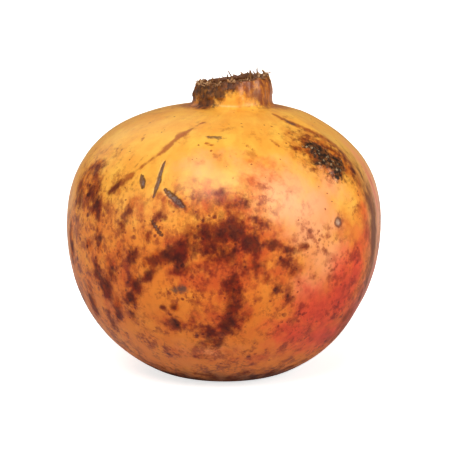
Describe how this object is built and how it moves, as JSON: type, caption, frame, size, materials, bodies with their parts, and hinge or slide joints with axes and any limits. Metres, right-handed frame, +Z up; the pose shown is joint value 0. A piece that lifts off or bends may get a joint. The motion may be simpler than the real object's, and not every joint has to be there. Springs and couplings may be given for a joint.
{
  "type": "pomegranate",
  "caption": "Whole ripe pomegranate with a leathery blotched rind and an open calyx tube full of dried stamens, standing on its stem end.",
  "frame": {"origin": "on the table under the middle of the fruit's box", "axes": "+Z up through the fruit from its stem end to its calyx, -Y the front, +X to the right of the front"},
  "size_m": [0.0894, 0.0906, 0.0871],
  "materials": {
    "rind": "leathery fruit rind, satin, yellow-orange with a red blush and brown weather marks",
    "dried_stamen": "dried plant fibre, matt brown",
    "dried_style": "dried plant stalk, matt tan-brown",
    "stem_wood": "clipped woody stem, matt grey-brown bark with a pale cut end"
  },
  "bodies": {
    "root": {"fruit": "rind", "style": "dried_style", "stem_stub": "stem_wood", "stamen_01": "dried_stamen", "stamen_02": "dried_stamen", "stamen_03": "dried_stamen", "stamen_04": "dried_stamen", "stamen_05": "dried_stamen", "stamen_06": "dried_stamen", "stamen_07": "dried_stamen", "stamen_08": "dried_stamen", "stamen_09": "dried_stamen", "stamen_10": "dried_stamen", "stamen_11": "dried_stamen", "stamen_12": "dried_stamen", "stamen_13": "dried_stamen", "stamen_14": "dried_stamen", "stamen_15": "dried_stamen", "stamen_16": "dried_stamen", "stamen_17": "dried_stamen", "stamen_18": "dried_stamen", "stamen_19": "dried_stamen", "stamen_20": "dried_stamen", "stamen_21": "dried_stamen", "stamen_22": "dried_stamen", "stamen_23": "dried_stamen", "stamen_24": "dried_stamen", "stamen_25": "dried_stamen", "stamen_26": "dried_stamen", "stamen_27": "dried_stamen", "stamen_28": "dried_stamen", "stamen_29": "dried_stamen", "stamen_30": "dried_stamen", "stamen_31": "dried_stamen", "stamen_32": "dried_stamen", "stamen_33": "dried_stamen", "stamen_34": "dried_stamen", "stamen_35": "dried_stamen", "stamen_36": "dried_stamen", "stamen_37": "dried_stamen", "stamen_38": "dried_stamen", "stamen_39": "dried_stamen", "stamen_40": "dried_stamen", "stamen_41": "dried_stamen", "stamen_42": "dried_stamen", "stamen_43": "dried_stamen", "stamen_44": "dried_stamen", "stamen_45": "dried_stamen", "stamen_46": "dried_stamen"}
  },
  "joints": []
}
